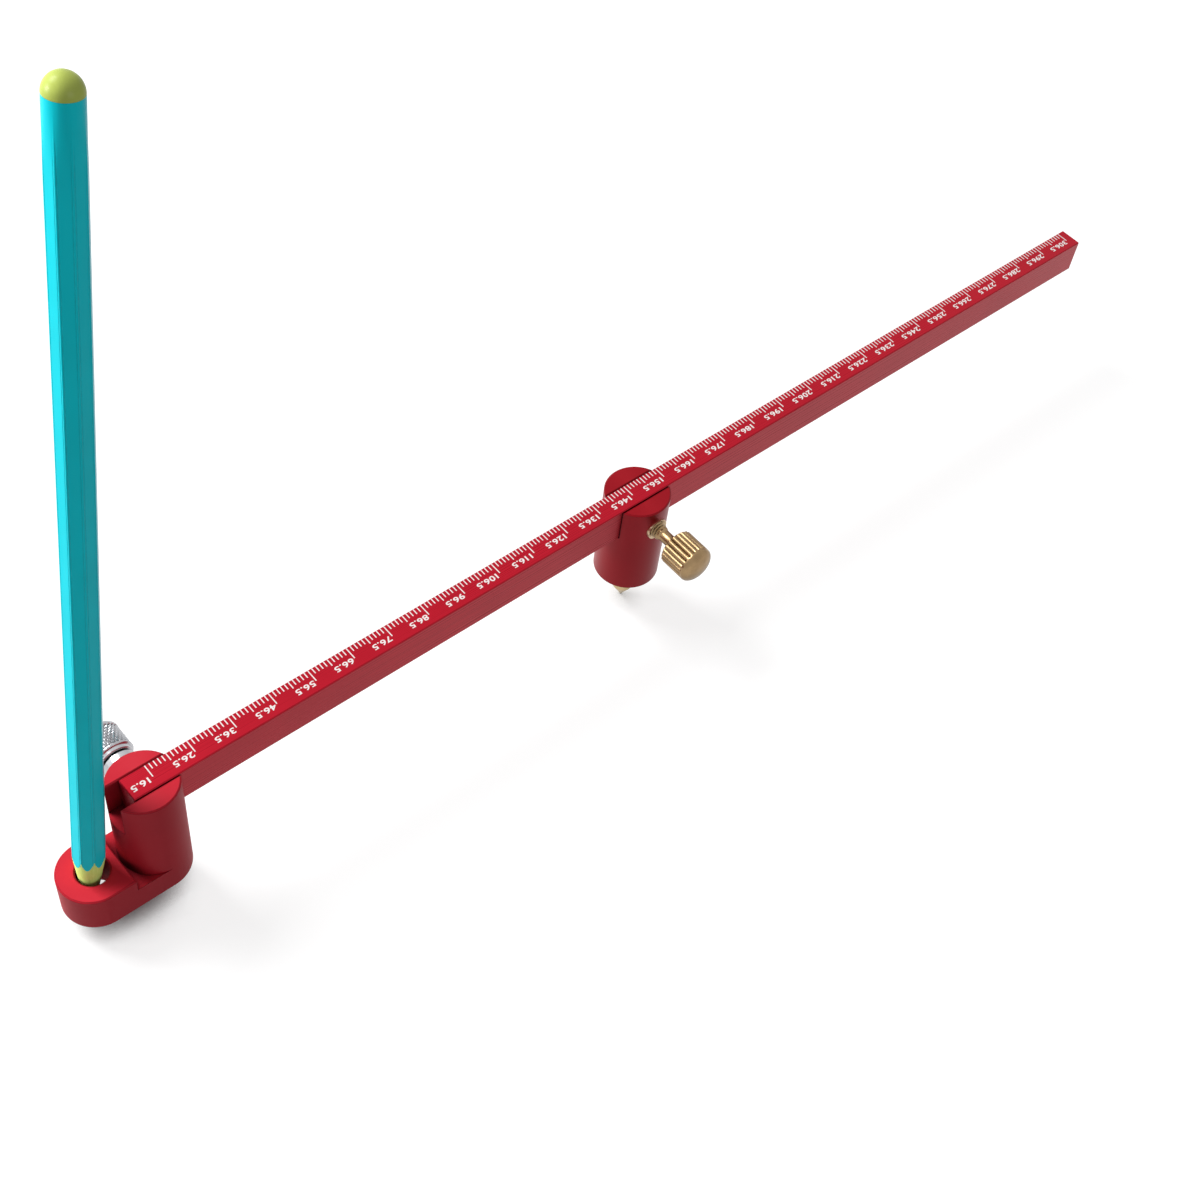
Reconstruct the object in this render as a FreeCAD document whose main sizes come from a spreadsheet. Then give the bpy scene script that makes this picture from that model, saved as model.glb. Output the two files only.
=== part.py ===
"""Beam compass: a square-bar radius rule with a pencil foot at one end and a sliding centre block.

Axes: +X runs along the beam towards its free end and +Z points up, off the sheet that is drawn on.
The origin is the point of the sheet that lies on the axis of the pencil hole, so that a mark on the
beam has the X that its number says. Sizes are in millimetres and angles in degrees.
"""

import FreeCAD
import Part

import math
import os
from typing import NamedTuple

import Sketcher
from FreeCAD import Placement, Rotation, Vector

# Driving sizes: alias, value, what it is.
SIZES = [
    ("bar_width", 6.0, "beam, across"),
    ("bar_height", 9.5, "beam, top to bottom"),
    ("bar_top", 39.0, "top of the beam above the sheet"),
    ("bar_edge", 0.2, "broken edges of the beam"),
    ("first_mark", 16.5, "radius that the first mark stands for"),
    ("scale_span", 290.0, "first mark to last mark"),
    ("near_margin", 6.0, "beam beyond the first mark"),
    ("far_margin", 2.5, "beam beyond the last mark"),
    ("slot_gap", 0.2, "clearance on each side of the beam in a slot"),
    ("slot_floor_gap", 0.05, "clearance under the beam in a slot"),
    ("bar_proud", 0.2, "beam above the top of the tower and the slider"),
    ("foot_clearance", 7.5, "foot above the sheet"),
    ("foot_thickness", 10.5, "foot round the pencil hole"),
    ("foot_width", 15.5, "foot, across, and the tower's diameter"),
    ("ledge_thickness", 7.0, "foot round the tower"),
    ("ledge_gap", 0.75, "step in the foot to the side of the tower"),
    ("tower_offset", 14.25, "pencil hole to tower, centre to centre"),
    ("hole_diameter", 7.2, "pencil hole"),
    ("body_edge", 0.3, "broken edges of the foot, tower and slider"),
    ("radius_set", 148.5, "radius that the slider is set to"),
    ("slider_diameter", 16.0, "slider"),
    ("slider_height", 27.0, "slider"),
    ("foot_screw_drop", 5.8, "axis of the foot's screw below the top of the beam"),
    ("slider_screw_drop", 6.4, "axis of the slider's screw below the top of the beam"),
    ("clamp_gap", 0.05, "pad to beam, and pad to screw"),
    ("pad_diameter", 4.4, "clamp pad"),
    ("pad_thickness", 1.4, "clamp pad"),
    ("pad_bore_gap", 0.1, "pad in its bore, radial"),
    ("socket_depth", 0.9, "socket in the pad for the nose of the screw"),
    ("nose_diameter", 2.0, "nose of the screw"),
    ("running_gap", 0.05, "nose in its socket and thread in its bush, radial"),
    ("screw_travel", 1.05, "outward travel of a pad"),
    ("thread_diameter", 4.0, "clamp screw"),
    ("bush_diameter", 5.6, "threaded bush"),
    ("bush_proud", 0.2, "bush beyond the round wall"),
    ("bush_mouth", 0.55, "countersink in the mouth of the bush"),
    ("bush_stop_gap", 0.1, "open pad to the bush"),
    ("thread_show", 2.0, "thread of the slider's screw beyond the wall"),
    ("neck_diameter", 3.0, "neck of the slider's screw"),
    ("neck_length", 4.3, "neck of the slider's screw"),
    ("knob_diameter", 9.2, "head of a clamp screw"),
    ("knob_length", 9.3, "head of a clamp screw"),
    ("knob_edge", 0.4, "broken edge of the brass head"),
    ("knob_dome", 2.2, "height of the rounded end of a head"),
    ("ring_width", 1.2, "polished cone on the steel head"),
    ("ring_diameter", 6.4, "small end of the polished cone"),
    ("steel_reach", 2.8, "tower wall to the steel head"),
    ("collar_diameter", 7.6, "collar between the steel head and the tower"),
    ("collar_gap", 0.2, "collar to the bush"),
    ("collar_groove", 0.4, "groove between the collar and the polished cone"),
    ("pin_diameter", 5.0, "centre point"),
    ("spigot_diameter", 4.0, "spigot of the centre point"),
    ("spigot_length", 8.0, "spigot of the centre point, pressed into the slider"),
    ("pin_angle", 30.0, "half angle of the centre point's cone"),
    ("pin_tip", 0.15, "radius of the blunted tip"),
    ("pin_edge", 0.3, "chamfer on the spigot"),
    ("pencil_flats", 6.6, "pencil across its flats"),
    ("pencil_length", 196.5, "pencil"),
    ("pencil_turn", 10.7, "azimuth that one flat of the pencil faces"),
    ("taper_angle", 8.35, "half angle of the sharpened cone"),
    ("lead_diameter", 2.2, "lead"),
    ("lead_cover", 4.0, "wood over the blind end of the lead"),
    ("lead_tip", 0.15, "radius of the blunted lead"),
    ("lean_angle", 11.0, "lean of the loose pencil in its hole"),
    ("lean_azimuth", 29.6, "direction of the lean, from +X"),
    ("lean_shift_x", -0.40, "pencil axis at the top of the foot, from the hole's centre"),
    ("lean_shift_y", 0.46, "the same, along Y"),
]

document = FreeCAD.newDocument("BeamCompass")
sheet = document.addObject("Spreadsheet::Sheet", "Sizes")
for row, (alias, number, meaning) in enumerate(SIZES, start=1):
    sheet.set(f"A{row}", alias)
    sheet.set(f"B{row}", str(number))
    sheet.setAlias(f"B{row}", alias)
    sheet.set(f"C{row}", meaning)
document.recompute()


def size(alias):
    """Return the cell with this alias as an expression."""
    return f"Sizes.{alias}"


# Places that follow from the driving sizes, as expressions.
BAR_LEFT = "(Sizes.first_mark - Sizes.near_margin)"
BAR_LENGTH = "(Sizes.near_margin + Sizes.scale_span + Sizes.far_margin)"
BAR_BOTTOM = "(Sizes.bar_top - Sizes.bar_height)"
BODY_TOP = "(Sizes.bar_top - Sizes.bar_proud)"
SLOT_FLOOR = f"({BAR_BOTTOM} - Sizes.slot_floor_gap)"
SLOT_HALF = "(Sizes.bar_width / 2 + Sizes.slot_gap)"
FOOT_TOP = "(Sizes.foot_clearance + Sizes.foot_thickness)"
LEDGE_DROP = "(Sizes.foot_thickness - Sizes.ledge_thickness)"
FOOT_RADIUS = "(Sizes.foot_width / 2)"
# The tower is as wide as the foot, so that their walls run into each other.
TOWER_RADIUS = FOOT_RADIUS
STEP_X = f"(Sizes.tower_offset - {TOWER_RADIUS} - Sizes.ledge_gap)"
FOOT_SCREW_Z = "(Sizes.bar_top - Sizes.foot_screw_drop)"
SLIDER_SCREW_Z = "(Sizes.bar_top - Sizes.slider_screw_drop)"
SLIDER_RADIUS = "(Sizes.slider_diameter / 2)"
SLIDER_BOTTOM = f"({BODY_TOP} - Sizes.slider_height)"
# Distances from the middle of the beam, outwards along the axis of a clamp screw.
PAD_INNER = "(Sizes.bar_width / 2 + Sizes.clamp_gap)"
PAD_OUTER = f"({PAD_INNER} + Sizes.pad_thickness)"
NOSE_END = f"({PAD_OUTER} - Sizes.socket_depth + Sizes.clamp_gap)"
SHOULDER = f"({PAD_OUTER} + Sizes.clamp_gap)"
BUSH_INNER = f"({PAD_OUTER} + Sizes.screw_travel + Sizes.bush_stop_gap)"
PAD_RADIUS = "(Sizes.pad_diameter / 2)"
PAD_BORE = "(Sizes.pad_diameter + 2 * Sizes.pad_bore_gap)"
NOSE_RADIUS = "(Sizes.nose_diameter / 2)"
THREAD_RADIUS = "(Sizes.thread_diameter / 2)"
BUSH_BORE = f"({THREAD_RADIUS} + Sizes.running_gap)"
KNOB_RADIUS = "(Sizes.knob_diameter / 2)"
# Heights along the pencil, from its tip.
TAPER = "tan(Sizes.taper_angle * 1deg)"
LEAD_RADIUS = "(Sizes.lead_diameter / 2)"
LEAD_CONE_TOP = f"({LEAD_RADIUS} / {TAPER})"
LEAD_TOP = "(Sizes.pencil_length - Sizes.lead_cover)"
PENCIL_SIDES = 8
PENCIL_CORNER = f"(Sizes.pencil_flats / 2 / cos({180 / PENCIL_SIDES} * 1deg))"

NEAR_SIDE = -1
FAR_SIDE = 1

# Steps that draw the quarter curve of a rounded end.
DOME_STEPS = 6


def value(expression):
    """Return the number that an expression has now."""
    result = sheet.evalExpression(expression)
    return float(getattr(result, "Value", result))


def new_body(label):
    """Add an empty body that carries one sub-part."""
    body = document.addObject("PartDesign::Body", label)
    body.Label = label
    return body


def new_sketch(body, name, role, offset="0"):
    """Add a sketch on one of the body's own origin planes, moved along its normal by offset."""
    sketch = body.newObject("Sketcher::SketchObject", f"{body.Name}_{name}")
    plane = next(feature for feature in body.Origin.OriginFeatures if feature.Role == role)
    sketch.AttachmentSupport = (plane, [""])
    sketch.MapMode = "FlatFace"
    sketch.setExpression("AttachmentOffset.Base.z", offset)
    return sketch


def bind_point(sketch, name, geometry, vertex, x, y):
    """Tie a point of the sketch to two expressions, measured from the sketch's origin."""
    for kind, axis, expression in (("DistanceX", "x", x), ("DistanceY", "y", y)):
        index = sketch.addConstraint(
            Sketcher.Constraint(kind, -1, 1, geometry, vertex, value(expression)))
        sketch.renameConstraint(index, f"{name}_{axis}")
        sketch.setExpression(f"Constraints.{name}_{axis}", expression)


def draw_polygon(sketch, corners):
    """Draw a closed outline through corners, each a pair of expressions."""
    points = [Vector(value(x), value(y), 0) for x, y in corners]
    for start, end in zip(points, points[1:] + points[:1]):
        sketch.addGeometry(Part.LineSegment(start, end), False)
    for index in range(len(corners)):
        following = (index + 1) % len(corners)
        sketch.addConstraint(Sketcher.Constraint("Coincident", index, 2, following, 1))
    for index, (x, y) in enumerate(corners):
        bind_point(sketch, f"corner{index}", index, 1, x, y)


def draw_rectangle(sketch, low, high):
    """Draw a rectangle between two opposite corners."""
    draw_polygon(sketch, [low, (high[0], low[1]), high, (low[0], high[1])])


def draw_circle(sketch, x, y, diameter):
    """Draw a circle at a point given by expressions."""
    centre = Vector(value(x), value(y), 0)
    circle = Part.Circle(centre, Vector(0, 0, 1), value(diameter) / 2)
    sketch.addGeometry(circle, False)
    bind_point(sketch, "centre", 0, 3, x, y)
    index = sketch.addConstraint(Sketcher.Constraint("Diameter", 0, value(diameter)))
    sketch.renameConstraint(index, "diameter")
    sketch.setExpression("Constraints.diameter", diameter)


def draw_round_ended(sketch, left, right, radius):
    """Draw a round-ended outline about two centres on the sketch's X axis."""
    start, end, reach = value(left), value(right), value(radius)
    up = Vector(0, 0, 1)
    quarter = math.pi / 2
    sketch.addGeometry([
        Part.LineSegment(Vector(start, -reach, 0), Vector(end, -reach, 0)),
        Part.ArcOfCircle(Part.Circle(Vector(end, 0, 0), up, reach), -quarter, quarter),
        Part.LineSegment(Vector(end, reach, 0), Vector(start, reach, 0)),
        Part.ArcOfCircle(Part.Circle(Vector(start, 0, 0), up, reach), quarter, 3 * quarter),
    ], False)
    for index in range(4):
        sketch.addConstraint(Sketcher.Constraint("Tangent", index, 2, (index + 1) % 4, 1))
    bind_point(sketch, "right", 1, 3, right, "0")
    bind_point(sketch, "left", 3, 3, left, "0")
    index = sketch.addConstraint(Sketcher.Constraint("Radius", 1, reach))
    sketch.renameConstraint(index, "radius")
    sketch.setExpression("Constraints.radius", radius)


def add_pad(body, sketch, length):
    """Raise a sketch along its normal."""
    pad = body.newObject("PartDesign::Pad", f"{sketch.Name}_pad")
    pad.Profile = sketch
    pad.setExpression("Length", length)
    document.recompute()
    return pad


def add_pocket(body, sketch, length=None, along_normal=False, both_ways=False):
    """Cut a sketch into the body, to a length or right through, and make sure that it cuts."""
    before = body.Shape.Volume
    pocket = body.newObject("PartDesign::Pocket", f"{sketch.Name}_cut")
    pocket.Profile = sketch
    pocket.Reversed = along_normal
    if length is None:
        pocket.Type = "ThroughAll"
        pocket.Midplane = both_ways
    else:
        pocket.setExpression("Length", length)
    document.recompute()
    if not body.Shape.Volume < before:
        raise RuntimeError(f"{pocket.Name} cuts nothing")
    return pocket


def turn(body, name, outline, cut=False):
    """Revolve an outline of (radius, height) expressions about the body's own Z axis."""
    sketch = new_sketch(body, name, "XZ_Plane")
    draw_polygon(sketch, outline)
    before = body.Shape.Volume if cut else 0.0
    kind = "PartDesign::Groove" if cut else "PartDesign::Revolution"
    feature = body.newObject(kind, f"{sketch.Name}_turned")
    feature.Profile = sketch
    feature.ReferenceAxis = (sketch, ["V_Axis"])
    feature.Angle = 360
    document.recompute()
    if cut and not body.Shape.Volume < before:
        raise RuntimeError(f"{feature.Name} cuts nothing")
    return feature


def break_edges(body, amount, wanted):
    """Chamfer every edge of the flat faces that wanted picks, by their height."""
    base = body.Tip
    names = [
        f"Face{index}" for index, face in enumerate(base.Shape.Faces, start=1)
        if isinstance(face.Surface, Part.Plane) and abs(face.normalAt(0, 0).z) > 0.99
        and wanted(face.CenterOfMass.z)
    ]
    chamfer = body.newObject("PartDesign::Chamfer", f"{body.Name}_edges")
    chamfer.Base = (base, names)
    chamfer.setExpression("Size", amount)
    document.recompute()
    return chamfer


def near(expression, tolerance=0.01):
    """Return a test for heights that lie at an expression."""
    return lambda height: abs(height - value(expression)) < tolerance


class Clamp(NamedTuple):
    """Where a clamp sits: along the beam, above the sheet, and on which side of the beam."""

    x: str
    z: str
    side: int


FOOT_CLAMP = Clamp("Sizes.tower_offset", FOOT_SCREW_Z, FAR_SIDE)
SLIDER_CLAMP = Clamp("Sizes.radius_set", SLIDER_SCREW_Z, NEAR_SIDE)


def place_on_clamp_axis(body, clamp):
    """Stand a turned piece on a clamp axis: its own Z points out of the beam's side."""
    body.Placement = Placement(Vector(), Rotation(Vector(1, 0, 0), -90 * clamp.side))
    body.setExpression("Placement.Base.x", clamp.x)
    body.setExpression("Placement.Base.z", clamp.z)
    document.recompute()


def make_beam():
    """The bar that carries the scale."""
    body = new_body("beam")
    section = new_sketch(body, "section", "YZ_Plane", BAR_LEFT)
    draw_rectangle(section, ("-Sizes.bar_width / 2", BAR_BOTTOM), ("Sizes.bar_width / 2", size("bar_top")))
    bar = add_pad(body, section, BAR_LENGTH)
    chamfer = body.newObject("PartDesign::Chamfer", "beam_edges")
    chamfer.Base = (bar, [f"Edge{index}" for index in range(1, len(bar.Shape.Edges) + 1)])
    chamfer.setExpression("Size", size("bar_edge"))
    document.recompute()
    return body


def cut_slot(body):
    """Cut the open slot for the beam through the top of a body."""
    slot = new_sketch(body, "slot", "YZ_Plane")
    above = f"({BODY_TOP} + 1)"
    draw_rectangle(slot, (f"-{SLOT_HALF}", SLOT_FLOOR), (SLOT_HALF, above))
    add_pocket(body, slot, both_ways=True)


def cut_clamp_bores(body, clamp):
    """Bore the seat of the pad and the wider seat of the bush, from the slot out to one side."""
    for name, start, diameter in (
            ("pad_bore", "0", PAD_BORE), ("bush_bore", BUSH_INNER, size("bush_diameter"))):
        # The normal of the XZ plane points along -Y.
        bore = new_sketch(body, name, "XZ_Plane", f"{-clamp.side} * {start}")
        draw_circle(bore, clamp.x, clamp.z, diameter)
        add_pocket(body, bore, along_normal=clamp.side == NEAR_SIDE)


def make_pencil_foot():
    """The foot with the pencil hole, in one piece with the tower that holds the beam."""
    body = new_body("pencil_foot")
    foot = new_sketch(body, "foot", "XY_Plane", size("foot_clearance"))
    draw_round_ended(foot, "0", size("tower_offset"), FOOT_RADIUS)
    add_pad(body, foot, size("foot_thickness"))
    ledge = new_sketch(body, "ledge", "XY_Plane", FOOT_TOP)
    beyond = f"(Sizes.tower_offset + {FOOT_RADIUS} + 1)"
    aside = f"({FOOT_RADIUS} + 1)"
    draw_rectangle(ledge, (STEP_X, f"-{aside}"), (beyond, aside))
    add_pocket(body, ledge, LEDGE_DROP)
    tower = new_sketch(body, "tower", "XY_Plane", size("foot_clearance"))
    draw_circle(tower, size("tower_offset"), "0", size("foot_width"))
    add_pad(body, tower, f"{BODY_TOP} - Sizes.foot_clearance")
    cut_slot(body)
    hole = new_sketch(body, "pencil_hole", "XY_Plane", FOOT_TOP)
    draw_circle(hole, "0", "0", size("hole_diameter"))
    add_pocket(body, hole)
    cut_clamp_bores(body, FOOT_CLAMP)
    levels = [near(BODY_TOP), near(FOOT_TOP), near(size("foot_clearance"))]
    break_edges(body, size("body_edge"), lambda height: any(level(height) for level in levels))
    return body


def make_slider_block():
    """The round block that rides on the beam and carries the centre point."""
    body = new_body("slider_block")
    barrel = new_sketch(body, "barrel", "XY_Plane", SLIDER_BOTTOM)
    draw_circle(barrel, size("radius_set"), "0", size("slider_diameter"))
    add_pad(body, barrel, size("slider_height"))
    cut_slot(body)
    cut_clamp_bores(body, SLIDER_CLAMP)
    seat = new_sketch(body, "pin_seat", "XY_Plane", SLIDER_BOTTOM)
    draw_circle(seat, size("radius_set"), "0", size("spigot_diameter"))
    add_pocket(body, seat, size("spigot_length"), along_normal=True)
    levels = [near(BODY_TOP), near(SLIDER_BOTTOM)]
    break_edges(body, size("body_edge"), lambda height: any(level(height) for level in levels))
    return body


def make_bush(label, clamp, wall_radius):
    """A threaded bush set into the wall of a block."""
    body = new_body(label)
    outer = f"({wall_radius} + Sizes.bush_proud)"
    rim = "(Sizes.bush_diameter / 2)"
    turn(body, "profile", [
        (BUSH_BORE, BUSH_INNER),
        (rim, BUSH_INNER),
        (rim, outer),
        (f"{BUSH_BORE} + Sizes.bush_mouth", outer),
        (BUSH_BORE, f"{outer} - Sizes.bush_mouth"),
    ])
    place_on_clamp_axis(body, clamp)
    return body


def make_pad(label, clamp):
    """The pad that a clamp screw presses against the side of the beam."""
    body = new_body(label)
    socket_radius = f"({NOSE_RADIUS} + Sizes.running_gap)"
    socket_floor = f"({PAD_OUTER} - Sizes.socket_depth)"
    turn(body, "profile", [
        ("0", PAD_INNER),
        (PAD_RADIUS, PAD_INNER),
        (PAD_RADIUS, PAD_OUTER),
        (socket_radius, PAD_OUTER),
        (socket_radius, socket_floor),
        ("0", socket_floor),
    ])
    place_on_clamp_axis(body, clamp)
    return body


def shank_outline(thread_end):
    """The nose and the thread of a clamp screw, from its axis out to the end of the thread."""
    return [
        ("0", NOSE_END),
        (NOSE_RADIUS, NOSE_END),
        (NOSE_RADIUS, SHOULDER),
        (THREAD_RADIUS, SHOULDER),
        (THREAD_RADIUS, thread_end),
    ]


def dome_outline(end):
    """The rounded end of a screw head: a quarter of an ellipse from its rim to the axis."""
    rim = f"({end} - Sizes.knob_dome)"
    points = []
    for step in range(DOME_STEPS):
        angle = f"({90 * step / DOME_STEPS} * 1deg)"
        points.append((f"{KNOB_RADIUS} * cos({angle})", f"{rim} + Sizes.knob_dome * sin({angle})"))
    return points + [("0", end)]


def make_slider_screw(label, clamp):
    """The brass clamp screw: a thread, a thinner neck and a fluted head."""
    body = new_body(label)
    thread_end = f"({SLIDER_RADIUS} + Sizes.thread_show)"
    knob_start = f"({thread_end} + Sizes.neck_length)"
    neck_radius = "(Sizes.neck_diameter / 2)"
    turn(body, "profile", shank_outline(thread_end) + [
        (neck_radius, thread_end),
        (neck_radius, knob_start),
        (f"{KNOB_RADIUS} - Sizes.knob_edge", knob_start),
        (KNOB_RADIUS, f"{knob_start} + Sizes.knob_edge"),
    ] + dome_outline(f"({knob_start} + Sizes.knob_length)"))
    place_on_clamp_axis(body, clamp)
    return body


def make_foot_screw(label, clamp):
    """The steel clamp screw: a thread, a collar, and a knurled head with a polished cone towards it."""
    body = new_body(label)
    collar_start = f"({TOWER_RADIUS} + Sizes.bush_proud + Sizes.collar_gap)"
    knob_start = f"({TOWER_RADIUS} + Sizes.steel_reach)"
    collar_end = f"({knob_start} - Sizes.collar_groove)"
    collar_radius = "(Sizes.collar_diameter / 2)"
    groove_radius = "(Sizes.ring_diameter / 2)"
    turn(body, "profile", shank_outline(collar_start) + [
        (collar_radius, collar_start),
        (collar_radius, collar_end),
        (groove_radius, collar_end),
        (groove_radius, knob_start),
        (KNOB_RADIUS, f"{knob_start} + Sizes.ring_width"),
    ] + dome_outline(f"({knob_start} + Sizes.knob_length)"))
    place_on_clamp_axis(body, clamp)
    return body


def make_centre_point():
    """The brass point that stands on the centre of the circle."""
    body = new_body("centre_point")
    radius = "(Sizes.pin_diameter / 2)"
    spigot = "(Sizes.spigot_diameter / 2)"
    cone_top = f"(({radius} - Sizes.pin_tip) / tan(Sizes.pin_angle * 1deg))"
    seated_end = f"({SLIDER_BOTTOM} + Sizes.spigot_length)"
    turn(body, "profile", [
        ("0", "0"),
        (size("pin_tip"), "0"),
        (radius, cone_top),
        (radius, SLIDER_BOTTOM),
        (spigot, SLIDER_BOTTOM),
        (spigot, f"{seated_end} - Sizes.pin_edge"),
        (f"{spigot} - Sizes.pin_edge", seated_end),
        ("0", seated_end),
    ])
    body.setExpression("Placement.Base.x", size("radius_set"))
    document.recompute()
    return body


def lay_along_pencil(body):
    """Put a piece made about its own Z axis, tip down, on the axis of the leaning pencil."""
    azimuth = math.radians(value(size("lean_azimuth")))
    across = Vector(-math.sin(azimuth), math.cos(azimuth), 0)
    body.Placement = Placement(Vector(), Rotation(across, value(size("lean_angle"))))
    run = f"{FOOT_TOP} * tan(Sizes.lean_angle * 1deg)"
    body.setExpression("Placement.Base.x", f"Sizes.lean_shift_x - {run} * cos(Sizes.lean_azimuth * 1deg)")
    body.setExpression("Placement.Base.y", f"Sizes.lean_shift_y - {run} * sin(Sizes.lean_azimuth * 1deg)")
    # The blunt tip tilts with the pencil, so its low edge is what stands on the sheet.
    body.setExpression("Placement.Base.z", "Sizes.lead_tip * sin(Sizes.lean_angle * 1deg)")
    document.recompute()


def round_pencil_end(body):
    """Round the blunt end of the pencil to a half ball that meets its corners."""
    sketch = new_sketch(body, "dome", "XZ_Plane")
    reach = value(PENCIL_CORNER)
    top = value(size("pencil_length"))
    centre = Vector(0, top - reach, 0)
    outside = Vector(reach + 1, top + 1, 0)
    ball = Part.Circle(centre, Vector(0, 0, 1), reach)
    corners = [
        Vector(0, top, 0),
        Vector(0, outside.y, 0),
        outside,
        Vector(outside.x, centre.y, 0),
        Vector(reach, centre.y, 0),
    ]
    sketch.addGeometry(Part.ArcOfCircle(ball, 0, math.pi / 2), False)
    for start, end in zip(corners, corners[1:]):
        sketch.addGeometry(Part.LineSegment(start, end), False)
    for index in range(5):
        sketch.addConstraint(Sketcher.Constraint("Coincident", index, 2, (index + 1) % 5, 1))
    equator = f"Sizes.pencil_length - {PENCIL_CORNER}"
    beyond = f"{PENCIL_CORNER} + 1"
    above = "Sizes.pencil_length + 1"
    bind_point(sketch, "centre", 0, 3, "0", equator)
    bind_point(sketch, "pole", 1, 1, "0", size("pencil_length"))
    bind_point(sketch, "upper", 2, 1, "0", above)
    bind_point(sketch, "outer", 3, 1, beyond, above)
    bind_point(sketch, "lower", 4, 1, beyond, equator)
    sketch.addConstraint(Sketcher.Constraint("Horizontal", 4))
    before = body.Shape.Volume
    groove = body.newObject("PartDesign::Groove", f"{sketch.Name}_turned")
    groove.Profile = sketch
    groove.ReferenceAxis = (sketch, ["V_Axis"])
    groove.Angle = 360
    document.recompute()
    if not body.Shape.Volume < before:
        raise RuntimeError(f"{groove.Name} cuts nothing")


def make_pencil_casing():
    """The eight-sided wooden casing, sharpened to a cone below and rounded above."""
    body = new_body("pencil_casing")
    section = new_sketch(body, "section", "XY_Plane")
    corners = []
    for step in range(PENCIL_SIDES):
        angle = f"((Sizes.pencil_turn + {(step + 0.5) * 360 / PENCIL_SIDES}) * 1deg)"
        corners.append((f"{PENCIL_CORNER} * cos({angle})", f"{PENCIL_CORNER} * sin({angle})"))
    draw_polygon(section, corners)
    add_pad(body, section, size("pencil_length"))
    outside = f"({PENCIL_CORNER} + 1)"
    turn(body, "taper", [("0", "0"), (outside, "0"), (outside, f"{outside} / {TAPER}")], cut=True)
    round_pencil_end(body)
    bore = new_sketch(body, "bore", "XY_Plane")
    draw_circle(bore, "0", "0", size("lead_diameter"))
    add_pocket(body, bore, LEAD_TOP, along_normal=True)
    lay_along_pencil(body)
    return body


def make_pencil_lead():
    """The lead, pointed with the casing."""
    body = new_body("pencil_lead")
    turn(body, "profile", [
        ("0", "0"),
        (size("lead_tip"), "0"),
        (LEAD_RADIUS, LEAD_CONE_TOP),
        (LEAD_RADIUS, LEAD_TOP),
        ("0", LEAD_TOP),
    ])
    lay_along_pencil(body)
    return body


def write_parts(bodies):
    """Check the whole document, then write one STEP file for each sub-part."""
    document.recompute()
    for item in document.Objects:
        if "Invalid" in item.State or "Error" in item.State:
            raise RuntimeError(f"{item.Name} failed: {item.State}")
    for body in bodies:
        if body.Shape.isNull() or not body.Shape.isValid() or len(body.Shape.Solids) != 1:
            raise RuntimeError(f"{body.Label} has no valid single solid")
    os.makedirs("parts", exist_ok=True)
    for body in bodies:
        body.Shape.exportStep(f"parts/{body.Label}.step")
        print(f"{body.Label}: {body.Shape.Volume:.1f} mm3")


write_parts([
    make_beam(),
    make_pencil_foot(),
    make_bush("foot_thread_bush", FOOT_CLAMP, TOWER_RADIUS),
    make_pad("foot_clamp_pad", FOOT_CLAMP),
    make_foot_screw("foot_clamp_screw", FOOT_CLAMP),
    make_slider_block(),
    make_bush("slider_thread_bush", SLIDER_CLAMP, SLIDER_RADIUS),
    make_pad("slider_clamp_pad", SLIDER_CLAMP),
    make_slider_screw("slider_clamp_screw", SLIDER_CLAMP),
    make_centre_point(),
    make_pencil_casing(),
    make_pencil_lead(),
])
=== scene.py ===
"""Looks of a beam compass: an anodised bar with a printed scale, a pencil foot and a sliding centre block.

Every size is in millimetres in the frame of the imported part, unless a name says otherwise.
"""

import logging
import math
from collections.abc import Callable, Sequence
from dataclasses import dataclass, field
from enum import Enum

import bpy
from mathutils import Matrix, Vector, noise


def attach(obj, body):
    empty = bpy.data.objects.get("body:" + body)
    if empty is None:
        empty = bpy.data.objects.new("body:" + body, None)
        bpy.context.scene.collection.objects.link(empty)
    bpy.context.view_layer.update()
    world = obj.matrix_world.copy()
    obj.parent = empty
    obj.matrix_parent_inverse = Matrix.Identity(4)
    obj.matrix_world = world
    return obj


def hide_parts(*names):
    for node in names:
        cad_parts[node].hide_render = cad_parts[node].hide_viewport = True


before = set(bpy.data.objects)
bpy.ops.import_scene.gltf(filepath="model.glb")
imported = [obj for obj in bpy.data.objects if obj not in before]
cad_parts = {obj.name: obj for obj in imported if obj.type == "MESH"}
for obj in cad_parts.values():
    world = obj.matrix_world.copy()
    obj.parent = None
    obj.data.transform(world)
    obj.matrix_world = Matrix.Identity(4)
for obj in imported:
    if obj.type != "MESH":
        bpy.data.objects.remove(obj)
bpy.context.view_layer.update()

MM = 0.001
LOG = logging.getLogger("beam_compass")

SLIDER_X = 148.5
TOWER_X = 14.25
SLIDER_SCREW_Z = 32.6
FOOT_SCREW_Z = 33.2

Colour = tuple[float, float, float, float]
Point = tuple[float, float, float]
Sockets = dict[str | int, object]


def paint(red: int, green: int, blue: int) -> Colour:
    """Turns a colour of 0 to 255 per channel into the linear colour that a shader takes.

    Args:
        red: Red, 0 to 255.
        green: Green, 0 to 255.
        blue: Blue, 0 to 255.

    Returns:
        The linear colour with full alpha.
    """
    def linear(level: int) -> float:
        """Returns one channel as linear light, 0 to 1."""
        share = level / 255
        return share / 12.92 if share <= 0.04045 else ((share + 0.055) / 1.055) ** 2.4

    return linear(red), linear(green), linear(blue), 1.0


def grey(level: float) -> Colour:
    """Returns a neutral colour of a linear level."""
    return level, level, level, 1.0


def darker(colour: Colour, share: float) -> Colour:
    """Returns a share of a colour, with full alpha."""
    return tuple(share * level for level in colour[:3]) + (1.0,)


# ---------------------------------------------------------------- shader wiring


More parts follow.
